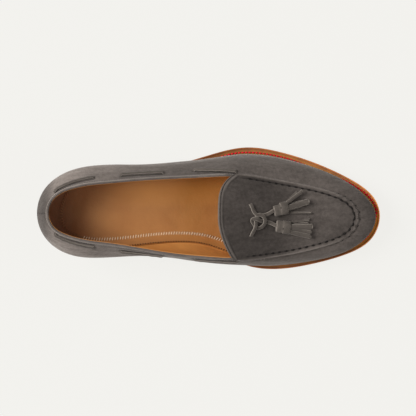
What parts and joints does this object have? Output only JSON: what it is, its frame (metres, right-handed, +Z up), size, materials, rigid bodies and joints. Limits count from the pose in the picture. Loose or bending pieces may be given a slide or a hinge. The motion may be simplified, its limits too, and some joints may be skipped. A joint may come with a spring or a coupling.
{
  "type": "tassel loafer",
  "caption": "Left suede slip-on loafer with an apron front, collar lace, knotted tassels, leather insole, stitched welt, leather sole and a stacked heel.",
  "frame": {"origin": "on the floor, in the middle of the heel's top piece", "axes": "+X from heel to toe, +Y to the outer (lateral) side of this left shoe, +Z up"},
  "size_m": [0.3001, 0.1073, 0.0878],
  "materials": {
    "suede": "brushed grey suede, matt, with a soft nap",
    "suede_lace": "grey suede lace and fringe, cut edges slightly lighter",
    "insole_leather": "smooth tan leather with a low sheen",
    "welt_leather": "natural tan leather strip, trimmed edge a little darker",
    "sole_leather": "oak tan sole leather, edge trimmed and waxed",
    "heel_leather": "stacked leather lifts, edges trimmed and waxed",
    "top_piece_rubber": "black rubber, matt"
  },
  "bodies": {
    "root": {"upper": "suede", "insole": "insole_leather", "welt": "welt_leather", "heel_rand": "welt_leather", "outsole": "sole_leather", "heel_lift_1": "heel_leather", "heel_lift_2": "heel_leather", "heel_lift_3": "heel_leather", "top_piece": "top_piece_rubber", "collar_lace_lateral_1": "suede_lace", "collar_lace_lateral_2": "suede_lace", "collar_lace_lateral_3": "suede_lace", "collar_lace_medial_1": "suede_lace", "collar_lace_medial_2": "suede_lace", "collar_lace_medial_3": "suede_lace", "lace_bar": "suede_lace", "lace_knot": "suede_lace", "tassel_lateral": "suede_lace", "tassel_medial": "suede_lace"}
  },
  "joints": []
}
